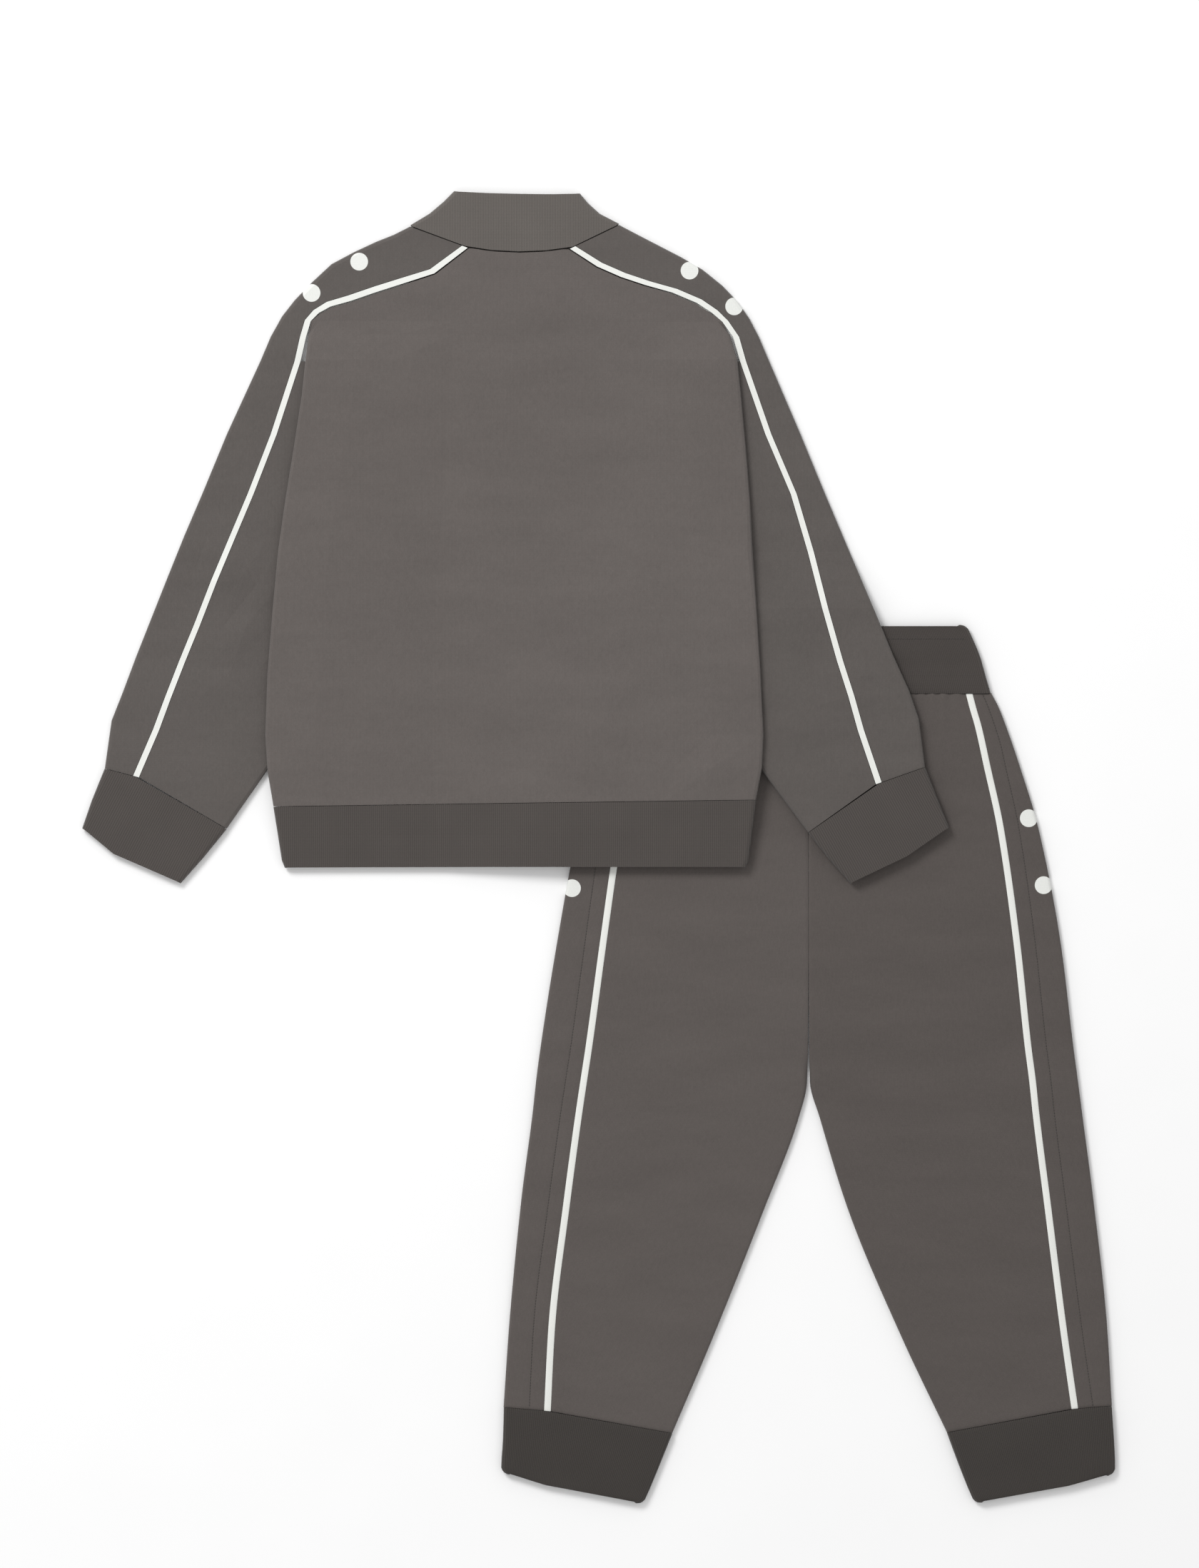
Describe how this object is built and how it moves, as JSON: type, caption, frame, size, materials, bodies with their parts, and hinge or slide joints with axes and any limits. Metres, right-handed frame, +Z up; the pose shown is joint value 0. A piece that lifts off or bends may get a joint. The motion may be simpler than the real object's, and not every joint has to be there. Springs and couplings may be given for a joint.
{
  "type": "tracksuit",
  "caption": "Child's tracksuit laid flat with its back up: a zipped jacket with rib collar, hem and cuffs over elastic-waist cuffed trousers, with white piping.",
  "frame": {"origin": "centre of the footprint on the surface it lies on", "axes": "+X to the right of someone looking down at the garment's back, +Y towards the collar, +Z up off the surface"},
  "size_m": [0.6949, 0.8822, 0.0169],
  "materials": {
    "jersey": "brushed cotton jersey, heathered grey-brown",
    "leg_jersey": "brushed cotton jersey, heathered grey-brown",
    "rib": "fine cotton and elastane rib",
    "leg_rib": "fine cotton and elastane rib",
    "piping": "white flat piping",
    "tape": "woven zip tape",
    "coil": "nylon zip coil",
    "metal": "grey zinc slider and tab"
  },
  "bodies": {
    "garment": {"jacket_back": "jersey", "jacket_front_left": "jersey", "jacket_front_right": "jersey", "jacket_collar": "rib", "jacket_hem_band": "rib", "sleeve_overarm_left": "jersey", "sleeve_overarm_right": "jersey", "sleeve_back_left": "jersey", "sleeve_back_right": "jersey", "sleeve_front_left": "jersey", "sleeve_front_right": "jersey", "sleeve_piping_back_left": "piping", "sleeve_piping_back_right": "piping", "sleeve_piping_front_left": "piping", "sleeve_piping_front_right": "piping", "sleeve_cuff_left": "rib", "sleeve_cuff_right": "rib", "zip_tape_left": "tape", "zip_tape_right": "tape", "zip_teeth": "coil", "zip_slider": "metal", "trouser_back_left": "leg_jersey", "trouser_back_right": "leg_jersey", "trouser_front_left": "leg_jersey", "trouser_front_right": "leg_jersey", "trouser_side_left": "leg_jersey", "trouser_side_right": "leg_jersey", "trouser_piping_back_left": "piping", "trouser_piping_back_right": "piping", "trouser_piping_front_left": "piping", "trouser_piping_front_right": "piping", "trouser_waistband": "leg_rib", "trouser_cuff_left": "leg_rib", "trouser_cuff_right": "leg_rib"},
    "pull_tab": {"zip_pull_tab": "metal"}
  },
  "joints": [
    {"name": "pull_tab_hinge", "type": "hinge", "parent": "garment", "child": "pull_tab", "pos_m": [-0.057, 0.4165, 0.00145], "axis": [1, 0, 0], "range_deg": [0, 170]}
  ]
}
